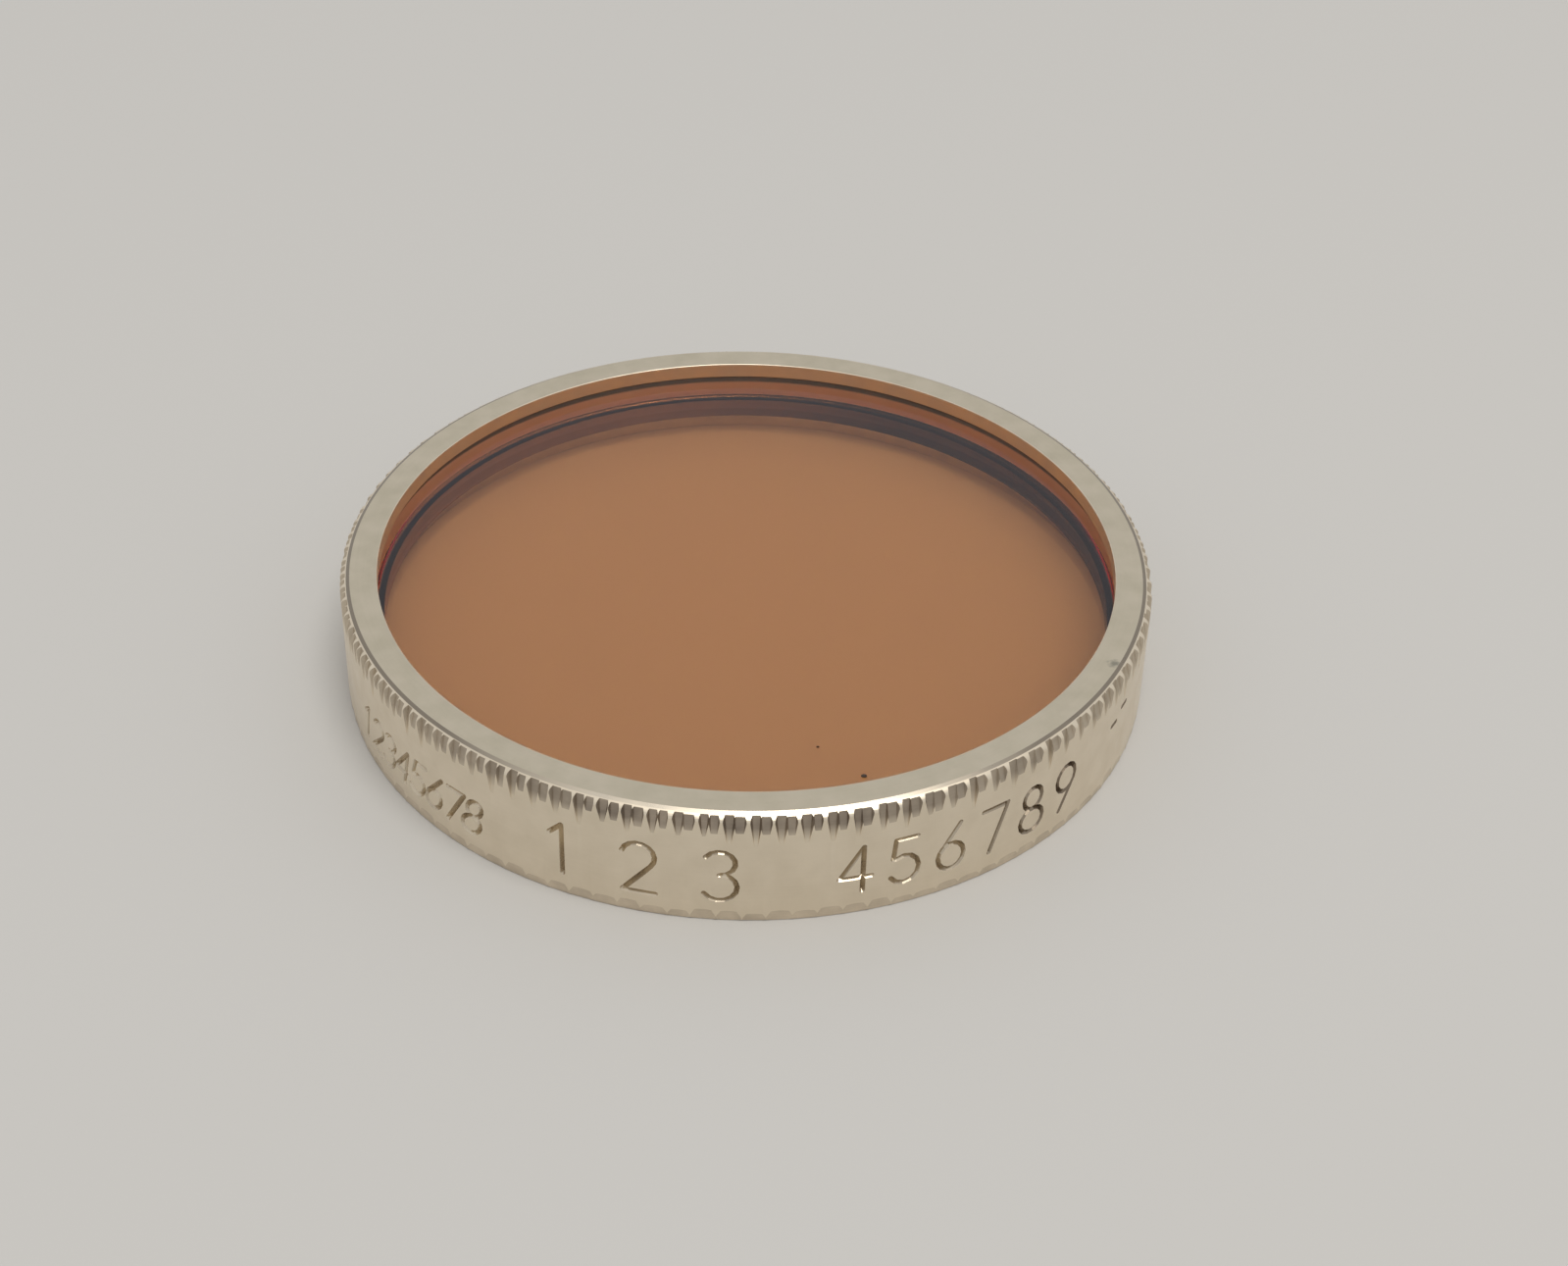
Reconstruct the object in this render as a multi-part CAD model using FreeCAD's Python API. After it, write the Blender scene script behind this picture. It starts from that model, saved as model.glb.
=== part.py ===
import FreeCAD, Part
import math
import os

os.makedirs("parts", exist_ok=True)

# A drop-in skylight filter: a knurled metal rim, one glass disc laid against the rim's front lip from
# behind, and a split spring ring that keeps the glass there. The filter has no thread: it drops into
# the round seat of a lens adapter. All sizes are in millimetres. The origin is at the middle of the
# back face, and +Z points to the front, which is the face with the lip.

# Rim: its outside, the wall round the seat, and the edges of the front face
rim_diameter = 30.2
rim_wall = 1.05
front_chamfer_width = 0.36
front_chamfer_height = 0.3

# Lip at the front face: how far it reaches in over the seat, and its thickness
lip_reach = 0.32
lip_thickness = 0.6

# Glass, and the air round it in the seat
glass_thickness = 2.5
glass_bevel = 0.15
glass_clearance = 0.05

# Split spring ring behind the glass, and how deep it lies below the back face
spring_wall = 0.45
spring_height = 0.75
spring_split = 1.2
spring_split_angle = -70.0
spring_clearance = 0.02
spring_depth = 0.75

# Knurl: the same wheel pressed the front edge twice, so each pitch has a long pit and a short one. The
# chamfer was turned after it, so the pits run out through the chamfer.
knurl_pitch = 0.8625
long_pit_depth = 0.25
long_pit_half_width = 0.2
long_pit_length = 1.15
short_pit_depth = 0.22
short_pit_half_width = 0.18
short_pit_length = 0.75
short_pit_offset = 0.33

# Serration of the back edge, shallow and running out upwards, at the pitch of the knurl
back_pit_depth = 0.06
back_pit_half_width = 0.3
back_pit_length = 0.5

# How far a cutting tool reaches past the skin that it cuts
overcut = 0.1

# Places that follow from the sizes
rim_radius = rim_diameter / 2
seat_radius = rim_radius - rim_wall
aperture_radius = seat_radius - lip_reach
glass_radius = seat_radius - glass_clearance
glass_underside = spring_depth + spring_height
lip_underside = glass_underside + glass_thickness
rim_height = lip_underside + lip_thickness
pitch_count = round(math.pi * rim_diameter / knurl_pitch)
pitch_angle = 360.0 / pitch_count
up = FreeCAD.Vector(0, 0, 1)
centre = FreeCAD.Vector(0, 0, 0)


def turned(outline):
    """Turn a closed outline of (radius, height) points about the axis."""
    points = [FreeCAD.Vector(radius, 0, height) for radius, height in outline]
    section = Part.Face(Part.makePolygon(points + points[:1]))
    return section.revolve(centre, up, 360)


def rim_blank():
    """The rim as it leaves the lathe, before it is knurled."""
    return turned([
        (aperture_radius, rim_height),
        (rim_radius - front_chamfer_width, rim_height),
        (rim_radius, rim_height - front_chamfer_height),
        (rim_radius, 0),
        (seat_radius, 0),
        (seat_radius, lip_underside),
        (aperture_radius, lip_underside),
    ])


def pit_tool(edge, runs, depth, half_width, length, offset=0.0):
    """A four-sided point that cuts one pit of the knurl at the rim's +X side.

    The pit is deepest at the height edge, and runs out to nothing at length from it, downwards where
    runs is -1 and upwards where it is +1. Its middle lies offset round the rim.
    """
    growth = (depth + overcut) / depth
    skin = rim_radius + overcut
    deepest = FreeCAD.Vector(rim_radius - depth, offset, edge)
    left = FreeCAD.Vector(skin, offset - half_width * growth, edge)
    right = FreeCAD.Vector(skin, offset + half_width * growth, edge)
    tip = FreeCAD.Vector(skin, offset, edge + runs * length * growth)
    triangles = [
        (deepest, left, right),
        (deepest, left, tip),
        (deepest, right, tip),
        (left, right, tip),
    ]
    faces = [Part.Face(Part.makePolygon(list(corners) + [corners[0]])) for corners in triangles]
    tool = Part.Solid(Part.Shell(faces))
    if tool.Volume < 0:
        tool.reverse()
    return tool


def round_the_rim(tool):
    """One copy of a tool at each pitch of the knurl."""
    copies = []
    for number in range(pitch_count):
        copy = tool.copy()
        copy.rotate(centre, up, number * pitch_angle)
        copies.append(copy)
    return copies


def filter_ring():
    """The knurled rim."""
    long_pit = pit_tool(rim_height, -1, long_pit_depth, long_pit_half_width, long_pit_length)
    short_pit = pit_tool(
        rim_height, -1, short_pit_depth, short_pit_half_width, short_pit_length, short_pit_offset
    )
    back_pit = pit_tool(0, 1, back_pit_depth, back_pit_half_width, back_pit_length)
    front_tools = round_the_rim(long_pit.fuse(short_pit))
    back_tools = round_the_rim(back_pit)
    return rim_blank().cut(front_tools + back_tools)


def filter_glass():
    """The glass disc, with its edges ground off."""
    return turned([
        (0, glass_underside),
        (glass_radius - glass_bevel, glass_underside),
        (glass_radius, glass_underside + glass_bevel),
        (glass_radius, lip_underside - glass_bevel),
        (glass_radius - glass_bevel, lip_underside),
        (0, lip_underside),
    ])


def retaining_ring():
    """The split ring that springs outwards into the seat and carries the glass."""
    outside = seat_radius - spring_clearance
    inside = outside - spring_wall
    ring = turned([
        (inside, glass_underside),
        (outside, glass_underside),
        (outside, spring_depth),
        (inside, spring_depth),
    ])
    split = Part.makeBox(
        spring_wall + 2 * overcut,
        spring_split,
        spring_height + 2 * overcut,
        FreeCAD.Vector(inside - overcut, -spring_split / 2, spring_depth - overcut),
    )
    split.rotate(centre, up, spring_split_angle)
    return ring.cut(split)


pieces = {
    "filter_ring": filter_ring,
    "filter_glass": filter_glass,
    "retaining_ring": retaining_ring,
}

for name, make in pieces.items():
    shape = make()
    solid_count = len(shape.Solids)
    print(name, "solids", solid_count, "valid", shape.isValid(), "volume", round(shape.Volume, 3))
    shape.exportStep("parts/" + name + ".step")
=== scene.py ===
# %% [markdown]
# A drop-in skylight filter is a disc of tinted glass in a thin turned metal rim. It has no thread: it
# drops into the round seat of a lens adapter. The rim is knurled along its front edge, finely serrated
# along its back edge, and engraved on the plain band between. A split spring ring behind the glass
# holds it against the rim's front lip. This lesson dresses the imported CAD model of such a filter. The
# CAD model gives every size and place, and Blender adds the surfaces: metal that has been turned,
# knurled and handled, glass with its tint inside, and the fine cuts that are too small for the CAD.

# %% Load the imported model
import math

import bmesh
import bpy
from mathutils import Matrix, Vector


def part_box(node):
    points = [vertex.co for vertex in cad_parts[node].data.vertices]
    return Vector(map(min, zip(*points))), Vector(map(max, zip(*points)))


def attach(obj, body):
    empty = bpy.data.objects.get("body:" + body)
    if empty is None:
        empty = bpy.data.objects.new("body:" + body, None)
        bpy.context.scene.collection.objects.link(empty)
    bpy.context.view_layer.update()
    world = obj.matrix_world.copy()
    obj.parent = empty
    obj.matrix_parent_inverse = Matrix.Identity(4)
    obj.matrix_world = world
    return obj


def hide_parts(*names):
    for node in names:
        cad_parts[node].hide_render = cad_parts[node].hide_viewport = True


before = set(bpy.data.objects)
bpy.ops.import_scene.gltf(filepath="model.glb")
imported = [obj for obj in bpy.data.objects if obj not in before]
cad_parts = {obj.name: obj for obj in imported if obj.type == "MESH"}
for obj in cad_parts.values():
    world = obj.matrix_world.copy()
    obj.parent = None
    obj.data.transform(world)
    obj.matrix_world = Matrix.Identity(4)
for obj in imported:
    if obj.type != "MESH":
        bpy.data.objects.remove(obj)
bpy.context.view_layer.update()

# %% [markdown]
# Everything is in metres in the frame of the CAD model, and the back face of the rim lies at z = 0. A
# designer would read the sizes off the drawing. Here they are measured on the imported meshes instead,
# so the scene keeps fitting if the drawing changes. A turned part needs only radii and heights.

# %% Measure the turned parts
mm = 0.001
hair = 0.003 * mm


def radii_at(node, height):
    """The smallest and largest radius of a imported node's points that lie at one height."""
    points = [v.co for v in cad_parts[node].data.vertices]
    radii = [math.hypot(p.x, p.y) for p in points if abs(p.z - height) < hair]
    return min(radii), max(radii)


rim_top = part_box("filter_ring")[1].z
glass_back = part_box("filter_glass")[0].z
glass_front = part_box("filter_glass")[1].z
spring_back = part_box("retaining_ring")[0].z
spring_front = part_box("retaining_ring")[1].z
rim_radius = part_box("filter_ring")[1].x
seat_radius = radii_at("filter_ring", 0)[0]
aperture_radius = radii_at("filter_ring", glass_front)[0]
land_inner, land_outer = radii_at("filter_ring", rim_top)
glass_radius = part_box("filter_glass")[1].x
spring_inner = radii_at("retaining_ring", spring_front)[0]
print("rim", rim_radius / mm, "high", rim_top / mm, "seat", seat_radius / mm)
print("land from", land_inner / mm, "to", land_outer / mm, "aperture", aperture_radius / mm)
print("glass", glass_back / mm, glass_front / mm, "spring", spring_inner / mm, spring_back / mm)

# %% [markdown]
# Materials in Blender are small graphs of nodes. These helpers keep the graphs short to write: one adds
# a node and sets or links its inputs, and one starts a material with its Principled shader. All the
# patterns read Object coordinates. The pieces sit at the origin, so those are the same as places in
# the frame, and a pattern can't slide when the part moves.

# %% Helpers for materials


def add_node(tree, kind, inputs=None, **settings):
    """Add a node, set its options, and set or link each named or numbered input."""
    node = tree.nodes.new(kind)
    for name, value in settings.items():
        setattr(node, name, value)
    for name, value in (inputs or {}).items():
        socket = node.inputs[name]
        if isinstance(value, bpy.types.NodeSocket):
            tree.links.new(value, socket)
        else:
            socket.default_value = value
    return node


def compute(tree, operation, first, second=0.0):
    """The output of one Math node."""
    return add_node(tree, "ShaderNodeMath", {0: first, 1: second}, operation=operation).outputs[0]


def mix_colour(tree, factor, first, second):
    """The colour output of one Mix node."""
    node = add_node(tree, "ShaderNodeMix", data_type="RGBA")
    sockets = {"Factor_Float": factor, "A_Color": first, "B_Color": second}
    for socket in node.inputs:
        value = sockets.get(socket.identifier)
        if isinstance(value, bpy.types.NodeSocket):
            tree.links.new(value, socket)
        elif value is not None:
            socket.default_value = value
    return next(socket for socket in node.outputs if socket.identifier == "Result_Color")


def spread(tree, value, low, high, to_low, to_high):
    """Map a value from one range to another, held at the ends."""
    inputs = {"Value": value, "From Min": low, "From Max": high, "To Min": to_low, "To Max": to_high}
    return add_node(tree, "ShaderNodeMapRange", inputs).outputs["Result"]


def new_material(name):
    """A material with its node tree and its Principled shader."""
    material = bpy.data.materials.new(name)
    material.use_nodes = True
    return material, material.node_tree, material.node_tree.nodes["Principled BSDF"]


# %% [markdown]
# The rim is brass under a worn nickel plate, which gives a warm, slightly yellow silver. A lathe leaves
# fine grooves that run round the part: rings on the flat land, and level lines on the band. Both are
# the same pattern, a noise that changes fast across the grooves and slowly along them. So the pattern
# is read at a point made of the radius, the height and the angle, with the angle hardly counting. A
# second, even noise adds the dull patches that fingers leave, in colour and in roughness.

# %% Coordinates of a turned part


def lathe_point(tree, across, along):
    """A texture point from radius, height and angle. Across sets the grooves' fineness."""
    place = add_node(tree, "ShaderNodeTexCoord").outputs["Object"]
    parts = add_node(tree, "ShaderNodeSeparateXYZ", {0: place})
    x, y, z = (parts.outputs[axis] for axis in "XYZ")
    x_squared = compute(tree, "MULTIPLY", x, x)
    y_squared = compute(tree, "MULTIPLY", y, y)
    radius = compute(tree, "SQRT", compute(tree, "ADD", x_squared, y_squared))
    angle = compute(tree, "ARCTAN2", y, x)
    point = add_node(tree, "ShaderNodeCombineXYZ", {
        "X": compute(tree, "MULTIPLY", radius, across),
        "Y": compute(tree, "MULTIPLY", angle, along),
        "Z": compute(tree, "MULTIPLY", z, across),
    })
    return place, point.outputs[0]


def noise(tree, point, scale, detail):
    """The value of one noise pattern."""
    inputs = {"Vector": point, "Scale": scale, "Detail": detail}
    return add_node(tree, "ShaderNodeTexNoise", inputs).outputs["Fac"]


def weighted(tree, first, first_share, second, second_share):
    """The sum of two values, each times its share."""
    one = compute(tree, "MULTIPLY", first, first_share)
    other = compute(tree, "MULTIPLY", second, second_share)
    return compute(tree, "ADD", one, other)


# %% Metal of the rim
nickel = (0.84, 0.745, 0.60, 1)
nickel_dull = (0.76, 0.67, 0.53, 1)
land_nickel = (0.69, 0.62, 0.495, 1)
land_nickel_dull = (0.57, 0.52, 0.405, 1)
strip_nickel = (0.76, 0.68, 0.56, 1)
strip_nickel_dull = (0.66, 0.58, 0.46, 1)
brass = (0.80, 0.62, 0.34, 1)
brass_dull = (0.70, 0.53, 0.28, 1)
# The pits' colours are darker than the band's: painted shade in the pits, with darker random patches in
# the second.
pit_nickel_shaded = (0.46, 0.39, 0.31, 1)
pit_grime_and_shade = (0.24, 0.20, 0.165, 1)
serrated_nickel = (0.80, 0.70, 0.56, 1)
serrated_nickel_dull = (0.56, 0.485, 0.385, 1)
groove_nickel = (0.72, 0.63, 0.49, 1)
groove_nickel_dull = (0.46, 0.39, 0.30, 1)


def turned_metal(name, bright, dull, roughness, groove_depth):
    """Plated metal with lathe grooves, dull patches and a fine grain."""
    material, tree, shader = new_material(name)
    place, turned = lathe_point(tree, across=14000, along=3.0)
    grooves = noise(tree, turned, scale=1.0, detail=3.0)
    patches = noise(tree, place, scale=900.0, detail=5.0)
    grain = noise(tree, place, scale=9000.0, detail=2.0)
    wear_and_painted_light = spread(tree, patches, 0.35, 0.7, 0.0, 1.0)
    streaked = weighted(tree, wear_and_painted_light, 0.7, grooves, 0.3)
    tree.links.new(mix_colour(tree, streaked, bright, dull), shader.inputs["Base Color"])
    rough = spread(tree, streaked, 0.0, 1.0, roughness - 0.06, roughness + 0.1)
    tree.links.new(rough, shader.inputs["Roughness"])
    height = weighted(tree, grooves, 0.7, grain, 0.3)
    bump = add_node(tree, "ShaderNodeBump", {"Strength": 0.6, "Distance": groove_depth, "Height": height})
    tree.links.new(bump.outputs["Normal"], shader.inputs["Normal"])
    shader.inputs["Metallic"].default_value = 1.0
    return material


rim_metal = turned_metal(
    "turned_nickel", nickel, nickel_dull, roughness=0.34, groove_depth=0.004 * mm
)
land_metal = turned_metal(
    "faced_nickel", land_nickel, land_nickel_dull, roughness=0.37, groove_depth=0.005 * mm
)
strip_metal = turned_metal(
    "strip_nickel", strip_nickel, strip_nickel_dull, roughness=0.3, groove_depth=0.002 * mm
)
bare_metal = turned_metal(
    "bare_brass", brass, brass_dull, roughness=0.4, groove_depth=0.004 * mm
)
pit_metal = turned_metal(
    "knurled_nickel_shaded", pit_nickel_shaded, pit_grime_and_shade, roughness=0.45, groove_depth=0.01 * mm
)
serrated_metal = turned_metal(
    "serrated_nickel", serrated_nickel, serrated_nickel_dull, roughness=0.4, groove_depth=0.01 * mm
)
groove_metal = turned_metal(
    "engraved_nickel", groove_nickel, groove_nickel_dull, roughness=0.22, groove_depth=0.002 * mm
)
print("plain metals", bare_metal.name, rim_metal.name, land_metal.name, strip_metal.name)

# %% [markdown]
# Light and shade are partly painted here. The pits are darker at their top, under the shoulder, and at
# the front, and lighter towards their tips and the sides: painted shade. The narrow strip beside the land
# darkens towards the sides, and the engraving darkens at the right: painted shade. The spring ring's
# black leads to a lighter brown towards the left: painted light across the ring. Each of these is the
# plain metal with its colour led to a second one along one coordinate.

# %% Painted light and shade


def fade_colour(material, value, low, high, colour):
    """Lead a material's colour to another one, as a value goes from low to high."""
    tree = material.node_tree
    socket = tree.nodes["Principled BSDF"].inputs["Base Color"]
    plain = socket.links[0].from_socket
    share = spread(tree, value, low, high, 0.0, 1.0)
    tree.links.new(mix_colour(tree, share, plain, colour), socket)


def object_axis(material, axis):
    """One Object coordinate in a material."""
    tree = material.node_tree
    place = add_node(tree, "ShaderNodeTexCoord").outputs["Object"]
    return add_node(tree, "ShaderNodeSeparateXYZ", {0: place}).outputs[axis]


strip_painted_shade = (0.30, 0.26, 0.21, 1)
groove_painted_shade = (0.24, 0.19, 0.14, 1)
pit_shade_end = rim_top - 0.55 * mm
pit_tips_start = rim_top - 1.05 * mm

# Painted shade: the pits are darker at their top, under the shoulder, and at the front.
pit_height = object_axis(pit_metal, "Z")
fade_colour(pit_metal, pit_height, low=pit_shade_end, high=pit_tips_start, colour=nickel_dull)
pit_sideways = compute(pit_metal.node_tree, "ABSOLUTE", object_axis(pit_metal, "X"))
fade_colour(pit_metal, pit_sideways, low=4 * mm, high=22 * mm, colour=nickel_dull)
# Painted shade on the strip towards the sides, and on the engraving at the right.
strip_sideways = compute(strip_metal.node_tree, "ABSOLUTE", object_axis(strip_metal, "X"))
fade_colour(strip_metal, strip_sideways, low=5 * mm, high=10 * mm, colour=strip_painted_shade)
groove_sideways = object_axis(groove_metal, "X")
fade_colour(groove_metal, groove_sideways, low=6 * mm, high=11 * mm, colour=groove_painted_shade)
print("wear_and_painted_light", pit_metal.name, strip_metal.name, groove_metal.name)

# %% Blackened spring
# The spring ring is blackened; its lighter brown towards the left is painted light across the ring.
spring_painted_light = (0.34, 0.23, 0.17, 1)
spring_black = (0.055, 0.042, 0.038, 1)
spring_painted_light_end = -4 * mm
spring_black_start = 6 * mm


def blackened_spring():
    """Blackened steel, with painted light: the black leads to a lighter brown towards the left."""
    material, tree, shader = new_material("blackened_spring")
    sideways = object_axis(material, "X")
    wear_and_painted_light = spread(tree, sideways, spring_painted_light_end, spring_black_start, 1.0, 0.0)
    tree.links.new(mix_colour(tree, wear_and_painted_light, spring_black, spring_painted_light), shader.inputs["Base Color"])
    shader.inputs["Roughness"].default_value = 0.5
    shader.inputs["Metallic"].default_value = 1.0
    return material


spring_metal = blackened_spring()
rim_metals = (rim_metal, land_metal, strip_metal, pit_metal, serrated_metal, groove_metal)
print("metals of the rim", [metal.name for metal in rim_metals], "and", spring_metal.name)

# %% [markdown]
# The glass is dyed in the mass, so its colour comes from the way that light has gone inside it. A tint
# on the surface would look the same at every angle and thickness. Volume Absorption gives the real
# thing: the colour deepens with the way through the glass. The two faces are polished. The cylinder
# round the edge is ground matt and lets no light through, so it has a material of its own.

# %% Tinted glass
glass_tint = (1.0, 0.57, 0.0, 1)
glass_density = 303.0
glass_index = 1.52
gleam_tint = (0.95, 0.88, 1.0, 1)
edge_pale = (0.85, 0.72, 0.62, 1)
# Towards the lip the ground edge leads to near black: painted shade where it goes under the lip.
edge_painted_shade = (0.05, 0.04, 0.04, 1)
edge_pale_end = glass_front - 1.05 * mm
edge_shade_start = glass_front - 0.85 * mm


def tinted_glass():
    """Polished glass, with its dye as an absorption inside."""
    material, tree, shader = new_material("salmon_glass")
    shader.inputs["Roughness"].default_value = 0.0
    shader.inputs["Base Color"].default_value = (1, 1, 1, 1)
    shader.inputs["Transmission Weight"].default_value = 1.0
    shader.inputs["IOR"].default_value = glass_index
    shader.inputs["Specular Tint"].default_value = gleam_tint
    dye = {"Color": glass_tint, "Density": glass_density}
    absorption = add_node(tree, "ShaderNodeVolumeAbsorption", dye)
    output = next(node for node in tree.nodes if node.type == "OUTPUT_MATERIAL")
    tree.links.new(absorption.outputs[0], output.inputs["Volume"])
    return material


def ground_edge():
    """The ground cylinder of the disc. It is matt, and darkens towards the lip with painted shade."""
    material, tree, shader = new_material("ground_glass")
    height = object_axis(material, "Z")
    lip_shade = spread(tree, height, edge_pale_end, edge_shade_start, 0.0, 1.0)
    tone = mix_colour(tree, lip_shade, edge_pale, edge_painted_shade)
    tree.links.new(tone, shader.inputs["Base Color"])
    shader.inputs["Roughness"].default_value = 0.6
    return material


glass_material = tinted_glass()
edge_material = ground_edge()
print("glass materials", glass_material.name, edge_material.name)

# %% [markdown]
# A lathe makes a part by turning an outline. The same idea makes the mesh: a closed outline in radius
# and height, turned in equal steps. The number of steps is a multiple of the knurl's pitches, so that
# every pitch meets the mesh in the same way. Real edges are never sharp. A small round on each corner
# catches the light, and that thin bright line is much of what makes metal look like metal.

# %% Turning an outline
pitches = 110
steps_per_pitch = 8
steps = pitches * steps_per_pitch


def rounded(corners, arc_steps=3):
    """Round each (radius, height, round) corner of a closed outline with a short arc."""
    outline = []
    for number, (r, z, size) in enumerate(corners):
        here = Vector((r, z))
        before = Vector(corners[number - 1][:2]) - here
        after = Vector(corners[(number + 1) % len(corners)][:2]) - here
        if size == 0:
            outline.append(here)
            continue
        start = here + before.normalized() * size
        end = here + after.normalized() * size
        for step in range(arc_steps + 1):
            t = step / arc_steps
            outline.append((1 - t) ** 2 * start + 2 * t * (1 - t) * here + t ** 2 * end)
    return outline


def turned_mesh(name, outline, count, material):
    """Turn a closed outline about Z into a closed mesh, with points on the axis shared."""
    mesh = bmesh.new()
    rings = []
    for point in outline:
        if point.x < hair:
            rings.append([mesh.verts.new((0, 0, point.y))] * count)
            continue
        turns = [2 * math.pi * step / count for step in range(count)]
        circle = [(point.x * math.cos(turn), point.x * math.sin(turn), point.y) for turn in turns]
        rings.append([mesh.verts.new(place) for place in circle])
    for ring, following in zip(rings, rings[1:] + rings[:1]):
        for step in range(count):
            after = (step + 1) % count
            corners = [ring[step], ring[after], following[after], following[step]]
            distinct = list(dict.fromkeys(corners))
            if len(distinct) > 2:
                mesh.faces.new(distinct)
    bmesh.ops.recalc_face_normals(mesh, faces=mesh.faces)
    data = bpy.data.meshes.new(name)
    mesh.to_mesh(data)
    mesh.free()
    data.materials.append(material)
    piece = bpy.data.objects.new(name, data)
    bpy.context.scene.collection.objects.link(piece)
    return piece


# %% [markdown]
# The rim blank is the part before it is knurled. Its outline follows the CAD corners, with the rounds
# that a deburring tool leaves. Smooth shading blends the slope of each face into its neighbours, so a
# round would tilt the light on the whole wall beside it. A narrow holding strip next to each round
# takes up most of that blend.

# %% Rim blank
chamfer_foot = max(
    v.co.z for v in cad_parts["filter_ring"].data.vertices
    if math.hypot(v.co.x, v.co.y) > rim_radius - hair
)
lip_bevel = 0.02 * mm
back_round = 0.12 * mm
holding_strip = 0.03 * mm
bevel_round = 0.01 * mm
seat_round = 0.04 * mm
under_lip_round = 0.03 * mm
strip_width = 0.13 * mm
strip_drop = 0.06 * mm
shoulder_steps = 6
shoulder_start = math.radians(45)


def shoulder():
    """Corners of the front face's outer edge: a narrow sloped strip, then a round down to the wall."""
    strip_edge = land_outer + strip_width
    width = (rim_radius - strip_edge) / (1 - math.sin(shoulder_start))
    drop = (rim_top - strip_drop - chamfer_foot) / math.cos(shoulder_start)
    corners = [(land_outer, rim_top, 0)]
    for step in range(shoulder_steps + 1):
        turn = shoulder_start + (math.pi / 2 - shoulder_start) * step / shoulder_steps
        radius = rim_radius - width * (1 - math.sin(turn))
        corners.append((radius, chamfer_foot + drop * math.cos(turn), 0))
    return corners


rim_blank = turned_mesh("filter_rim", rounded([
    (aperture_radius, rim_top - lip_bevel - holding_strip, 0),
    (aperture_radius, rim_top - lip_bevel, bevel_round),
    (aperture_radius + lip_bevel, rim_top, bevel_round),
    *shoulder(),
    (rim_radius, chamfer_foot - holding_strip, 0),
    (rim_radius, back_round + holding_strip, 0),
    (rim_radius, 0, back_round),
    (seat_radius, 0, seat_round),
    (seat_radius, glass_front, 0),
    (aperture_radius, glass_front, under_lip_round),
]), steps, bare_metal)
print("rim blank faces", len(rim_blank.data.polygons), "chamfer foot mm", chamfer_foot / mm)

# %% [markdown]
# A knurling wheel is a hard toothed roller that is pressed into the turning rim. Each tooth leaves a
# pit. Here the teeth run out downwards, so a pit is deep at the rim's edge and narrows to a blunt tip. The
# wheel went round twice and its second pass fell between the first, so each pitch has a long pit and
# a shorter one, and the distance between them drifts. A pit could be modelled by moving points of a
# fine grid, but its sharp borders would look like stairs. Cutting a small tapered tool out of the blank
# gives clean borders with few faces. Geometry Nodes place the tools: the tree puts one copy at each
# pitch, with a little chance in its place, depth, width and length. A Boolean takes them all away.

# %% Knurling tools
overcut = 0.1 * mm


def pit_tool(name, depth, half_width, length, runs, material, floor_share, tip_share):
    """One tooth at the origin, with +X outwards. It narrows to a blunt tip, up or down by runs."""
    growth = (depth + overcut) / depth
    tip = half_width * tip_share
    corners = [
        (-depth, -half_width * floor_share, 0),
        (-depth, half_width * floor_share, 0),
        (overcut, -half_width * growth, 0),
        (overcut, half_width * growth, 0),
        (overcut, -tip, runs * length * growth),
        (overcut, tip, runs * length * growth),
    ]
    mesh = bmesh.new()
    bmesh.ops.convex_hull(mesh, input=[mesh.verts.new(corner) for corner in corners])
    bmesh.ops.recalc_face_normals(mesh, faces=mesh.faces)
    data = bpy.data.meshes.new(name)
    mesh.to_mesh(data)
    mesh.free()
    data.materials.append(material)
    tool = bpy.data.objects.new(name, data)
    bpy.context.scene.collection.objects.link(tool)
    return tool


long_tool = pit_tool(
    "long_pit", depth=0.23 * mm, half_width=0.215 * mm, length=1.15 * mm, runs=-1,
    material=pit_metal, floor_share=0.7, tip_share=0.1,
)
short_tool = pit_tool(
    "short_pit", depth=0.21 * mm, half_width=0.20 * mm, length=0.74 * mm, runs=-1,
    material=pit_metal, floor_share=0.75, tip_share=0.5,
)
back_tool = pit_tool(
    "back_pit", depth=0.045 * mm, half_width=0.40 * mm, length=0.44 * mm, runs=1,
    material=serrated_metal, floor_share=0.85, tip_share=0.6,
)
print("tools", long_tool.name, short_tool.name, back_tool.name)

# %% Helpers for Geometry Nodes


def new_tree(name, inputs):
    """A node tree with geometry in and out, and the named inputs with their kinds and defaults."""
    tree = bpy.data.node_groups.new(name, "GeometryNodeTree")
    tree.interface.new_socket(name="Geometry", in_out="INPUT", socket_type="NodeSocketGeometry")
    tree.interface.new_socket(name="Geometry", in_out="OUTPUT", socket_type="NodeSocketGeometry")
    for label, (kind, default) in inputs.items():
        kind = "NodeSocket" + kind
        socket = tree.interface.new_socket(name=label, in_out="INPUT", socket_type=kind)
        if default is not None:
            socket.default_value = default
    return tree, tree.nodes.new("NodeGroupInput").outputs, tree.nodes.new("NodeGroupOutput").inputs


def random_value(tree, low, high, seed):
    """A random number for each point."""
    node = add_node(tree, "FunctionNodeRandomValue", {"Seed": seed}, data_type="FLOAT")
    for socket in node.inputs:
        if socket.identifier == "Min_001":
            socket.default_value = low
        if socket.identifier == "Max_001":
            socket.default_value = high
    return next(socket for socket in node.outputs if socket.identifier == "Value_001")


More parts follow.
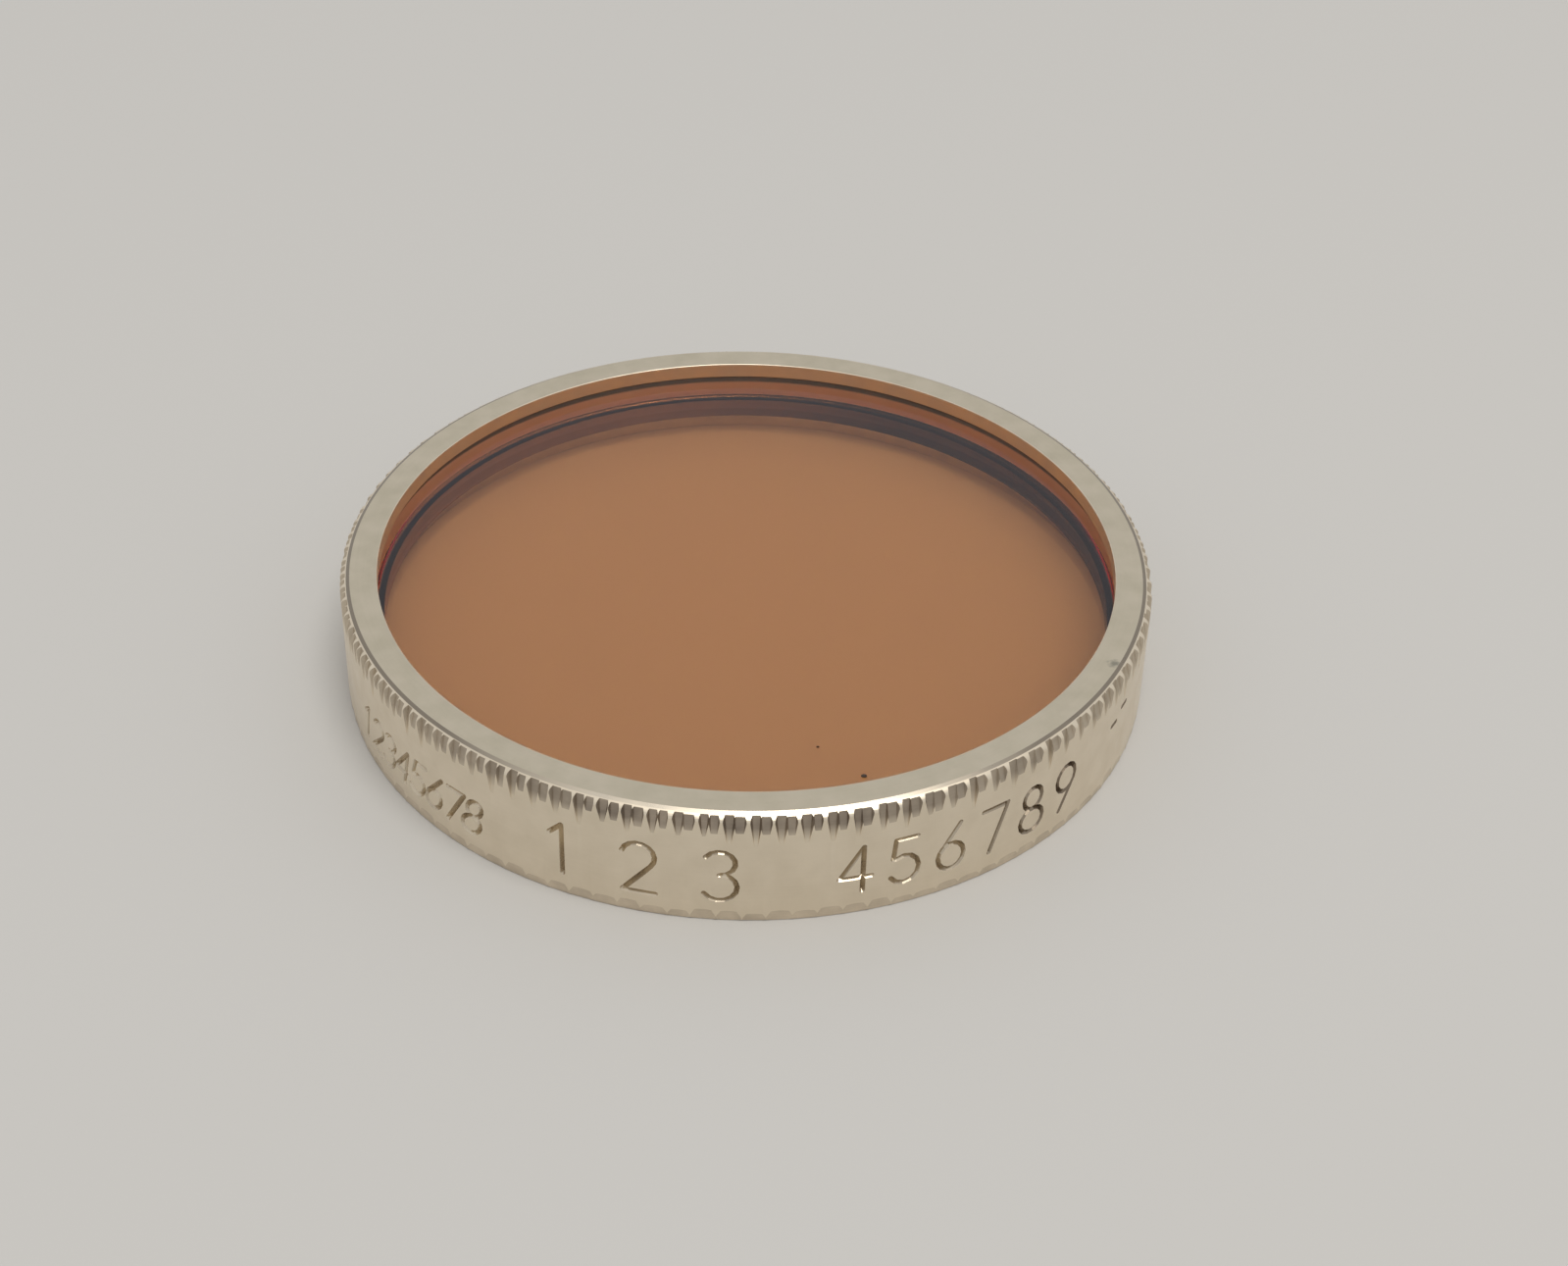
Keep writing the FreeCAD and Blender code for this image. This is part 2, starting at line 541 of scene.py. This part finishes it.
def apply_tree(piece, tree, values):
    """Run a tree on a piece with the given inputs, and keep the result as its plain mesh."""
    modifier = piece.modifiers.new(tree.name, "NODES")
    modifier.node_group = tree
    for item in tree.interface.items_tree:
        if item.in_out == "INPUT" and item.name in values:
            modifier[item.identifier] = values[item.name]
    view_layer = bpy.context.view_layer
    view_layer.update()
    shaped = piece.evaluated_get(bpy.context.evaluated_depsgraph_get())
    data = bpy.data.meshes.new_from_object(shaped)
    piece.modifiers.clear()
    piece.data = data


def cut_away(tree, body, cutters):
    """The body less all the cutters."""
    settings = {"operation": "DIFFERENCE", "solver": "MANIFOLD"}
    cut = add_node(tree, "GeometryNodeMeshBoolean", {"Mesh 1": body}, **settings)
    for cutter in cutters:
        tree.links.new(cutter, cut.inputs["Mesh 2"])
    return cut.outputs[0]


def finish_tree(tree, geometry, given, result):
    """End a tree: real geometry, with the metal set on every face that is still bare."""
    real = add_node(tree, "GeometryNodeRealizeInstances", {0: geometry})
    still_bare = add_node(tree, "GeometryNodeMaterialSelection", {"Material": given["Bare"]})
    dressed = add_node(tree, "GeometryNodeSetMaterial", {
        "Geometry": real.outputs[0],
        "Selection": still_bare.outputs[0],
        "Material": given["Metal"],
    })
    tree.links.new(dressed.outputs[0], result["Geometry"])


# %% One impression of the wheel
pit_depth_range = (0.85, 1.0)
pit_width_range = (0.85, 1.15)
pit_length_range = (0.75, 1.15)


def impression_tree():
    """Copies of one tool round the rim: drift is a slow wave in their places, in radians."""
    tree, given, result = new_tree("impression", {
        "Tool": ("Geometry", None),
        "Count": ("Int", 110),
        "Radius": ("Float", 0.015),
        "Height": ("Float", 0.0),
        "Offset": ("Float", 0.0),
        "Drift": ("Float", 0.0),
        "Jitter": ("Float", 0.0),
        "Seed": ("Int", 1),
    })
    index = add_node(tree, "GeometryNodeInputIndex").outputs[0]
    pitch = compute(tree, "DIVIDE", 2 * math.pi, given["Count"])
    even = compute(tree, "MULTIPLY", index, pitch)
    slow = compute(tree, "SINE", compute(tree, "MULTIPLY", even, 2.0))
    chance = random_value(tree, -1.0, 1.0, given["Seed"])
    stray = compute(tree, "ADD", compute(tree, "MULTIPLY", slow, given["Drift"]), given["Offset"])
    shake = compute(tree, "MULTIPLY", chance, given["Jitter"])
    angle = compute(tree, "ADD", even, compute(tree, "ADD", stray, shake))
    place = add_node(tree, "ShaderNodeCombineXYZ", {
        "X": compute(tree, "MULTIPLY", compute(tree, "COSINE", angle), given["Radius"]),
        "Y": compute(tree, "MULTIPLY", compute(tree, "SINE", angle), given["Radius"]),
        "Z": given["Height"],
    })
    spots = {"Count": given["Count"], "Position": place.outputs[0]}
    points = add_node(tree, "GeometryNodePoints", spots)
    turn = add_node(tree, "ShaderNodeCombineXYZ", {"Z": angle})
    size = add_node(tree, "ShaderNodeCombineXYZ", {
        "X": random_value(tree, *pit_depth_range, compute(tree, "ADD", given["Seed"], 11)),
        "Y": random_value(tree, *pit_width_range, compute(tree, "ADD", given["Seed"], 12)),
        "Z": random_value(tree, *pit_length_range, compute(tree, "ADD", given["Seed"], 13)),
    })
    copies = add_node(tree, "GeometryNodeInstanceOnPoints", {
        "Points": points.outputs[0],
        "Instance": given["Tool"],
        "Rotation": add_node(tree, "FunctionNodeEulerToRotation", {0: turn.outputs[0]}).outputs[0],
        "Scale": size.outputs[0],
    })
    tree.links.new(copies.outputs[0], result["Geometry"])
    return tree


impression = impression_tree()
print("nodes of one impression", len(impression.nodes))

# %% Knurling the rim


def knurl_tree():
    """Takes the long, short and back pits out of the rim."""
    tree, given, result = new_tree("knurl", {
        "Count": ("Int", 110),
        "Radius": ("Float", 0.015),
        "Knurl top": ("Float", 0.0044),
        "Second pass": ("Float", 0.02),
        "Drift": ("Float", 0.005),
        "Jitter": ("Float", 0.002),
        "Long tool": ("Object", None),
        "Short tool": ("Object", None),
        "Back tool": ("Object", None),
        "Bare": ("Material", None),
        "Metal": ("Material", None),
        "Seed": ("Int", 7),
    })
    cutters = []
    passes = [
        ("Long tool", given["Knurl top"], 0.0, 0.0, 0),
        ("Short tool", given["Knurl top"], given["Second pass"], given["Drift"], 100),
        ("Back tool", 0.0, 0.0, 0.0, 200),
    ]
    for label, height, offset, drift, seed_step in passes:
        tool = add_node(tree, "GeometryNodeObjectInfo", {"Object": given[label]})
        node = add_node(tree, "GeometryNodeGroup", node_tree=impression)
        values = {
            "Tool": tool.outputs["Geometry"],
            "Count": given["Count"],
            "Radius": given["Radius"],
            "Height": height,
            "Offset": offset,
            "Drift": drift,
            "Jitter": given["Jitter"],
            "Seed": compute(tree, "ADD", given["Seed"], seed_step),
        }
        for name, value in values.items():
            if isinstance(value, bpy.types.NodeSocket):
                tree.links.new(value, node.inputs[name])
            else:
                node.inputs[name].default_value = value
        cutters.append(node.outputs[0])
    cut = cut_away(tree, given["Geometry"], cutters)
    finish_tree(tree, cut, given, result)
    return tree


apply_tree(rim_blank, knurl_tree(), {
    "Count": pitches,
    "Radius": rim_radius,
    "Knurl top": rim_top,
    "Second pass": 0.35 * mm / rim_radius,
    "Drift": 0.05 * mm / rim_radius,
    "Jitter": 0.02 * mm / rim_radius,
    "Long tool": long_tool,
    "Short tool": short_tool,
    "Back tool": back_tool,
    "Bare": bare_metal,
    "Metal": rim_metal,
})
print("knurled rim faces", len(rim_blank.data.polygons), [m.name for m in rim_blank.data.materials])
for tool in (long_tool, short_tool, back_tool):
    bpy.data.objects.remove(tool)

# %% [markdown]
# The band carries engraved characters. A pantograph engraver drags a spinning pointed cutter along each
# stroke, so a stroke is a V-shaped groove of one width with round ends. The characters here are plain
# numbers, drawn as single lines in a unit box. For each short piece of a stroke, the space that the
# cutter sweeps is the hull of a cone at its start and a cone at its end. Those hulls are wrapped round
# the rim, and Geometry Nodes split them into single solids and cut them all from the metal.

# %% Single-line numbers


def arc(x, y, across, tall, start, end, pieces=9):
    """Points along a stretch of an ellipse, from one angle to another in degrees."""
    turns = [math.radians(start + (end - start) * step / pieces) for step in range(pieces + 1)]
    return [(x + across * math.cos(turn), y + tall * math.sin(turn)) for turn in turns]


number_strokes = {
    "1": [[(0.08, 0.78), (0.30, 1.0), (0.30, 0.0)]],
    "2": [arc(0.28, 0.73, 0.27, 0.27, 165, -42) + [(0.02, 0.0), (0.56, 0.0)]],
    "3": [arc(0.27, 0.76, 0.25, 0.24, 150, -90) + arc(0.27, 0.27, 0.28, 0.27, 80, -150)],
    "4": [[(0.42, 0.0), (0.42, 1.0), (0.0, 0.32), (0.58, 0.32)]],
    "5": [[(0.50, 1.0), (0.10, 1.0), (0.06, 0.57)] + arc(0.27, 0.31, 0.28, 0.31, 125, -150)],
    "6": [[(0.44, 1.0), (0.06, 0.42)], arc(0.28, 0.29, 0.26, 0.29, 0, 360, 14)],
    "7": [[(0.02, 1.0), (0.56, 1.0), (0.20, 0.0)]],
    "8": [arc(0.28, 0.76, 0.22, 0.24, 0, 360, 14), arc(0.28, 0.26, 0.28, 0.26, 0, 360, 14)],
    "9": [arc(0.28, 0.71, 0.26, 0.29, 0, 360, 14), [(0.52, 0.60), (0.14, 0.0)]],
    "-": [[(0.0, 0.5), (0.56, 0.5)]],
}
number_width = 0.56
print("characters", "".join(number_strokes))

# %% Rows of numbers on the band
groove_half_width = 0.095 * mm
groove_depth = 0.15 * mm
cone_sides = 10


def wrapped(along, height, out):
    """A point on the rim: along is an angle in radians, out is the distance beyond the skin."""
    radius = rim_radius + out
    return Vector((radius * math.cos(along), radius * math.sin(along), height))


def cone_points(along, height):
    """The engraving cutter at one place: its tip in the metal, and a circle just outside."""
    growth = (groove_depth + overcut) / groove_depth
    reach = groove_half_width * growth
    points = [wrapped(along, height, -groove_depth)]
    for side in range(cone_sides):
        turn = 2 * math.pi * side / cone_sides
        sideways = along + reach * math.cos(turn) / rim_radius
        points.append(wrapped(sideways, height + reach * math.sin(turn), overcut))
    return points


def sweep(mesh, places):
    """Add the hull of the places to a mesh, without the points that fall inside it."""
    points = [mesh.verts.new(place) for place in places]
    hull = bmesh.ops.convex_hull(mesh, input=points)
    left_over = hull["geom_interior"] + hull["geom_unused"]
    spare = {item for item in left_over if isinstance(item, bmesh.types.BMVert)}
    bmesh.ops.delete(mesh, geom=list(spare), context="VERTS")


def engraving(name, rows):
    """The swept solids of all strokes. A row has its text, its angles, its base, height and slant."""
    mesh = bmesh.new()
    for text, angles, base, tall, slant in rows:
        for letter, middle in zip(text, angles):
            for stroke in number_strokes[letter]:
                route = []
                for x, y in stroke:
                    sideways = ((x - number_width / 2) + slant * (y - 0.5)) * tall
                    route.append((math.radians(middle) + sideways / rim_radius, base + y * tall))
                for start, end in zip(route, route[1:]):
                    sweep(mesh, cone_points(*start) + cone_points(*end))
    bmesh.ops.recalc_face_normals(mesh, faces=mesh.faces)
    data = bpy.data.meshes.new(name)
    mesh.to_mesh(data)
    mesh.free()
    data.materials.append(bare_metal)
    cutter = bpy.data.objects.new(name, data)
    bpy.context.scene.collection.objects.link(cutter)
    return cutter


def even_angles(first, last, count):
    """Angles at equal steps, in degrees."""
    return [first + (last - first) * step / (count - 1) for step in range(count)]


strokes = engraving("engraved_strokes", [
    ("12345678", even_angles(-153.5, -128.0, 8), 0.95 * mm, 1.5 * mm, 0.25),
    ("123", even_angles(-114.0, -92.8, 3), 0.93 * mm, 2.15 * mm, 0.0),
    ("456789", even_angles(-75.4, -41.8, 6), 0.98 * mm, 1.95 * mm, 0.0),
    ("-", [-29.3], 2.30 * mm, 0.7 * mm, 0.0),
    ("-", [-26.0], 2.62 * mm, 0.7 * mm, 0.0),
])
print("engraving solids' faces", len(strokes.data.polygons))

# %% Engraving the rim


def engrave_tree():
    """Takes every single solid of the cutter's path out of the rim."""
    tree, given, result = new_tree("engrave", {
        "Strokes": ("Object", None),
        "Bare": ("Material", None),
        "Metal": ("Material", None),
    })
    info = add_node(tree, "GeometryNodeObjectInfo", {"Object": given["Strokes"]})
    island = add_node(tree, "GeometryNodeInputMeshIsland").outputs["Island Index"]
    parts = {"Geometry": info.outputs["Geometry"], "Group ID": island}
    single = add_node(tree, "GeometryNodeSplitToInstances", parts, domain="FACE")
    cut = cut_away(tree, given["Geometry"], [single.outputs[0]])
    finish_tree(tree, cut, given, result)
    return tree


apply_tree(rim_blank, engrave_tree(), {"Strokes": strokes, "Bare": bare_metal, "Metal": groove_metal})
print("engraved rim faces", len(rim_blank.data.polygons), [m.name for m in rim_blank.data.materials])
bpy.data.objects.remove(strokes)

# %% [markdown]
# The land is faced on the lathe and then bears on other parts, so it is duller than the band. It and
# the sloped strip beside it get their own metals here, picked out by place and slope. The rim is then
# shaded smooth, with its real edges kept sharp.

# %% Land of the rim
rim_blank.data.materials.append(land_metal)
land_slot = len(rim_blank.data.materials) - 1
land_faces = [f for f in rim_blank.data.polygons if f.normal.z > 0.99 and f.center.z > rim_top - hair]
for face in land_faces:
    face.material_index = land_slot
print("land faces", len(land_faces))

# %% Sloped strip beside the land
rim_blank.data.materials.append(strip_metal)
strip_slot = len(rim_blank.data.materials) - 1
strip_steepest = 0.8
strip_levelest = 0.97
strip_foot = rim_top - strip_drop - hair
strip_faces = []
for face in rim_blank.data.polygons:
    radius = math.hypot(face.center.x, face.center.y)
    on_strip = land_outer < radius < land_outer + strip_width
    sloped = strip_steepest < face.normal.z < strip_levelest
    if on_strip and sloped and face.center.z > strip_foot:
        strip_faces.append(face)
for face in strip_faces:
    face.material_index = strip_slot
print("strip faces", len(strip_faces))

# %% Shading of the rim
level = 0.999


def shade(piece, sharp_angle):
    """Smooth a piece's rounds, and keep its level faces flat and its real edges sharp."""
    mesh = piece.data
    mesh.set_sharp_from_angle(angle=math.radians(sharp_angle))
    # The line above makes every face smooth, so the level faces are made flat after it
    mesh.polygons.foreach_set("use_smooth", [abs(face.normal.z) < level for face in mesh.polygons])
    mesh.update()
    flat = [face for face in mesh.polygons if not face.use_smooth]
    lean = max(mesh.corner_normals[loop].vector.angle(f.normal) for f in flat for loop in f.loop_indices)
    print(piece.name, "flat faces", len(flat), "their largest lean in degrees", math.degrees(lean))


shade(rim_blank, sharp_angle=10)
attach(rim_blank, "root")
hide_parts("filter_ring")
print("rim faces", len(rim_blank.data.polygons))

# %% [markdown]
# The camera stands where it stood for the photo. Its place comes from the ellipses that the rim's
# edges draw: their width and height give the elevation, and the way that the near side looks larger
# than the far side gives the distance. The three small angles are how far the object lies off the
# middle of the picture, and how far the picture leans.

# %% Camera
photo_width = 1599
photo_height = 1291
focal_pixels = 2689.9
camera_elevation = math.radians(37.135)
camera_distance = 101.41 * mm
camera_yaw = math.radians(0.823)
camera_pitch = math.radians(0.427)
camera_roll = math.radians(0.946)


def turned_pair(first, second, angle):
    """Two square axes, turned by an angle in their own plane."""
    return (
        first * math.cos(angle) + second * math.sin(angle),
        second * math.cos(angle) - first * math.sin(angle),
    )


look_down = Vector((0, -math.cos(camera_elevation), math.sin(camera_elevation)))
camera_place = look_down * camera_distance
forward = -look_down
right = Vector((1, 0, 0))
upward = right.cross(forward)
forward, right = turned_pair(forward, right, camera_yaw)
forward, upward = turned_pair(forward, upward, camera_pitch)
right, upward = turned_pair(right, upward, camera_roll)
camera_data = bpy.data.cameras.new("camera")
camera_data.sensor_width = 36
camera_data.lens = focal_pixels / photo_width * camera_data.sensor_width
camera_data.clip_start = 0.001
camera_data.clip_end = 10
camera = bpy.data.objects.new("camera", camera_data)
axes = Matrix((right, upward, -forward)).transposed()
camera.matrix_world = Matrix.Translation(camera_place) @ axes.to_4x4()
bpy.context.scene.collection.objects.link(camera)
bpy.context.scene.camera = camera
print("camera at mm", [round(value / mm, 2) for value in camera_place])


def seen_at(pixel_x, pixel_y, height):
    """The place at one height that the camera sees at a pixel of the photo."""
    across = right * (pixel_x - photo_width / 2)
    down = -upward * (pixel_y - photo_height / 2)
    ray = forward * focal_pixels + across + down
    return camera_place + ray * ((height - camera_place.z) / ray.z)


# %% [markdown]
# A darker patch sits on the land at the right, next to the strip, at a small nick that isn't cut. Its
# colour is the land's led to a darker one near that place, and a noise makes its border uneven.

# %% Darker patch on the land
patch_pixel = (1137, 677)
patch_colour = (0.34, 0.32, 0.26, 1)
patch_heart = 0.32 * mm
patch_end = 0.55 * mm
patch_raggedness = 0.5 * mm
patch_place = seen_at(*patch_pixel, rim_top)
land_tree = land_metal.node_tree
land_place = add_node(land_tree, "ShaderNodeTexCoord").outputs["Object"]
patch_reach = add_node(land_tree, "ShaderNodeVectorMath", {
    0: land_place,
    1: patch_place,
}, operation="DISTANCE").outputs["Value"]
patch_noise = noise(land_tree, land_place, scale=5000.0, detail=3.0)
patch_border = compute(land_tree, "MULTIPLY", patch_noise, patch_raggedness)
patch_edge = compute(land_tree, "ADD", patch_reach, patch_border)
fade_colour(land_metal, patch_edge, low=patch_end, high=patch_heart, colour=patch_colour)
print("stain at mm", [round(value / mm, 2) for value in patch_place])

# %% [markdown]
# The glass is one disc with its edges ground off. It is dropped in from the back, lies against the lip
# and is held by the spring ring. Its faces have to be shaded flat: blended with the edge's slope, the
# disc would bend the light like a lens. Two grains of dirt lie on its front, where the photo shows
# them. They are small lumps of their own, because a dark spot in the glass's tint would catch no light.

# %% Glass
glass_bevel = 0.15 * mm
ground_round = 0.03 * mm
edge_skin = 0.02 * mm
glass_steps = 440
glass = turned_mesh("filter_glass_disc", rounded([
    (0, glass_back, 0),
    (glass_radius - glass_bevel, glass_back, ground_round),
    (glass_radius, glass_back + glass_bevel, ground_round),
    (glass_radius, glass_front - glass_bevel, ground_round),
    (glass_radius - glass_bevel, glass_front, ground_round),
    (0, glass_front, 0),
]), glass_steps, glass_material)
glass.data.materials.append(edge_material)
edge_slot = len(glass.data.materials) - 1
for face in glass.data.polygons:
    if math.hypot(face.center.x, face.center.y) > glass_radius - edge_skin:
        face.material_index = edge_slot
print("glass faces", len(glass.data.polygons))

# %% Grains of dirt on the glass
dirt_material, _, dirt_shader = new_material("dirt")
dirt_shader.inputs["Base Color"].default_value = (0.05, 0.035, 0.03, 1)
dirt_shader.inputs["Roughness"].default_value = 0.9
glass.data.materials.append(dirt_material)
dirt_slot = len(glass.data.materials) - 1
# Each grain is its pixel in the photo, across and down, and its radius in mm
grains = [(881, 792, 0.085), (834, 762, 0.045)]
grain_proportions = (1.3, 1.0, 0.5, 1.0)
grain_lift = 0.4
grown = bmesh.new()
grown.from_mesh(glass.data)
for pixel_x, pixel_y, size in grains:
    place = seen_at(pixel_x, pixel_y, glass_front) + Vector((0, 0, size * mm * grain_lift))
    shape = Matrix.Translation(place) @ Matrix.Diagonal(grain_proportions)
    lump = bmesh.ops.create_icosphere(grown, subdivisions=2, radius=size * mm, matrix=shape)
    for face in {face for point in lump["verts"] for face in point.link_faces}:
        face.material_index = dirt_slot
grown.to_mesh(glass.data)
grown.free()
print("glass faces with the grains", len(glass.data.polygons))

# %% Shading of the glass
shade(glass, sharp_angle=20)
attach(glass, "root")
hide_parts("filter_glass")

# %% [markdown]
# The spring ring keeps its CAD shape. It is a strip of blackened steel bent into an open ring a little
# larger than the seat, so it presses outwards and can't fall out. Only its finish is set here.

# %% Spring ring
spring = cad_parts["retaining_ring"]
spring.data.materials.clear()
spring.data.materials.append(spring_metal)
print("spring ring", spring.name, "in", spring_metal.name)

# %% [markdown]
# The filter lies on plain pale paper. Most of the light is an even sky, as near a window on a dull day.
# One broad lamp from above and a little to the right gives the soft shadow and the bright line along
# the front shoulder, because the slope there turns it towards the camera.

# %% Floor, sky and lamp
floor_size = 4.0
floor_colour = (0.575, 0.565, 0.545, 1)
floor_data = bpy.data.meshes.new("floor")
half = floor_size / 2
floor_corners = [(-half, -half, 0), (half, -half, 0), (half, half, 0), (-half, half, 0)]
floor_data.from_pydata(floor_corners, [], [(0, 1, 2, 3)])
floor = bpy.data.objects.new("floor", floor_data)
bpy.context.scene.collection.objects.link(floor)
floor_material, _, floor_shader = new_material("pale_paper")
floor_shader.inputs["Base Color"].default_value = floor_colour
floor_shader.inputs["Roughness"].default_value = 0.9
floor_shader.inputs["Specular IOR Level"].default_value = 0.1
floor_data.materials.append(floor_material)

sky = bpy.data.worlds.new("soft_room")
bpy.context.scene.world = sky
sky.use_nodes = True
background = sky.node_tree.nodes["Background"]
background.inputs["Color"].default_value = (0.66, 0.655, 0.65, 1)
background.inputs["Strength"].default_value = 1.0

lamp_direction = Vector((0.16, -0.23, 0.96)).normalized()
lamp_distance = 0.6
lamp_data = bpy.data.lights.new("ceiling_lamp", "AREA")
lamp_data.shape = "DISK"
lamp_data.size = 0.3
lamp_data.energy = 1.35
lamp_data.color = (1.0, 0.97, 0.92)
lamp = bpy.data.objects.new("ceiling_lamp", lamp_data)
lamp.location = lamp_direction * lamp_distance
lamp.rotation_euler = lamp_direction.to_track_quat("Z", "Y").to_euler()
bpy.context.scene.collection.objects.link(lamp)
print("lamp at mm", [round(value / mm) for value in lamp.location], "watts", lamp_data.energy)

# %% [markdown]
# The last step sets how colours are shown.

# %% Finish
bpy.context.scene.view_settings.view_transform = "Standard"
